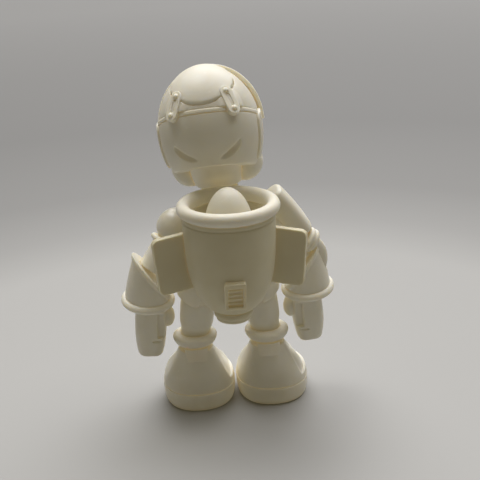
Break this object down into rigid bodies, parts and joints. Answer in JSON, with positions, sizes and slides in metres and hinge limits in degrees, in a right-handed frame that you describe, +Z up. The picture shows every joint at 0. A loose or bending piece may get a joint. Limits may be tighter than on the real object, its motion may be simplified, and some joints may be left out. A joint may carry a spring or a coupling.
{
  "type": "humanoid robot kit",
  "caption": "Desktop humanoid robot figure kit with a helmeted turning head, posable arms and legs, big boots and a cup-shaped jetpack with side fins.",
  "frame": {"origin": "on the ground under the middle of the figure's footprint box", "axes": "+Z up, the figure faces -Y, its left hand is on +X"},
  "size_m": [0.093, 0.0743, 0.1506],
  "materials": {
    "resin": "semi-matt, slightly translucent off-white resin with soft edges",
    "resin_lens": "glossy off-white resin"
  },
  "bodies": {
    "torso": {"chest_shell": "resin", "neck_post": "resin", "collar_ring": "resin", "waist_belt": "resin", "pelvis_core": "resin", "jetpack_pod": "resin", "jetpack_lip": "resin", "intake_cone": "resin", "nozzle_ring": "resin", "vent_frame": "resin", "vent_louvre": "resin", "fin_left": "resin", "fin_right": "resin"},
    "head": {"skull_shell": "resin", "helmet_ridge": "resin", "helmet_band": "resin", "dome_cap": "resin", "strap_link_left": "resin", "ear_panel_left": "resin", "jaw_lobe_left": "resin", "strap_link_right": "resin", "ear_panel_right": "resin", "jaw_lobe_right": "resin", "visor_hoop": "resin", "face_plate": "resin", "mouth_vent": "resin", "eye_lens_left": "resin_lens", "eye_lens_right": "resin_lens", "neck_guard": "resin"},
    "arm_left": {"shoulder_ball_left": "resin", "upper_arm_left": "resin", "shoulder_ring_left": "resin", "gauntlet_left": "resin", "cuff_ring_left": "resin"},
    "hand_left": {"hand_left": "resin"},
    "arm_right": {"shoulder_ball_right": "resin", "upper_arm_right": "resin", "shoulder_plate_right": "resin", "elbow_hose_right": "resin", "hose_ferrule_right": "resin", "gauntlet_right": "resin", "cuff_ring_right": "resin"},
    "hand_right": {"hand_right": "resin"},
    "leg_left": {"hip_trunk_left": "resin", "thigh_left": "resin", "ankle_cuff_left": "resin", "boot_upper_left": "resin", "heel_tab_left": "resin", "boot_sole_left": "resin"},
    "leg_right": {"hip_trunk_right": "resin", "thigh_right": "resin", "ankle_cuff_right": "resin", "boot_upper_right": "resin", "heel_tab_right": "resin", "boot_sole_right": "resin"}
  },
  "joints": [
    {"name": "neck_turn", "type": "hinge", "parent": "torso", "child": "head", "pos_m": [0.001, -0.0159, 0.1], "axis": [0.0899, 0, 0.996], "range_deg": [-28, 44]},
    {"name": "shoulder_left_swing", "type": "hinge", "parent": "torso", "child": "arm_left", "pos_m": [0.0205, -0.0124, 0.0834], "axis": [1, 0, 0], "range_deg": [-80, 15]},
    {"name": "wrist_left_turn", "type": "hinge", "parent": "arm_left", "child": "hand_left", "pos_m": [0.0349, -0.0119, 0.0516], "axis": [-0.0791, 0.1395, 0.987], "range_deg": [-60, 60]},
    {"name": "hip_left_swing", "type": "hinge", "parent": "torso", "child": "leg_left", "pos_m": [0.0124, -0.0119, 0.056], "axis": [1, 0, 0], "range_deg": [-25, 12]},
    {"name": "shoulder_right_swing", "type": "hinge", "parent": "torso", "child": "arm_right", "pos_m": [-0.0205, -0.0124, 0.0834], "axis": [1, 0, 0], "range_deg": [-80, 15]},
    {"name": "wrist_right_turn", "type": "hinge", "parent": "arm_right", "child": "hand_right", "pos_m": [-0.0349, -0.0119, 0.0516], "axis": [0.0791, 0.1395, 0.987], "range_deg": [-60, 60]},
    {"name": "hip_right_swing", "type": "hinge", "parent": "torso", "child": "leg_right", "pos_m": [-0.0124, -0.0119, 0.056], "axis": [1, 0, 0], "range_deg": [-25, 12]}
  ]
}
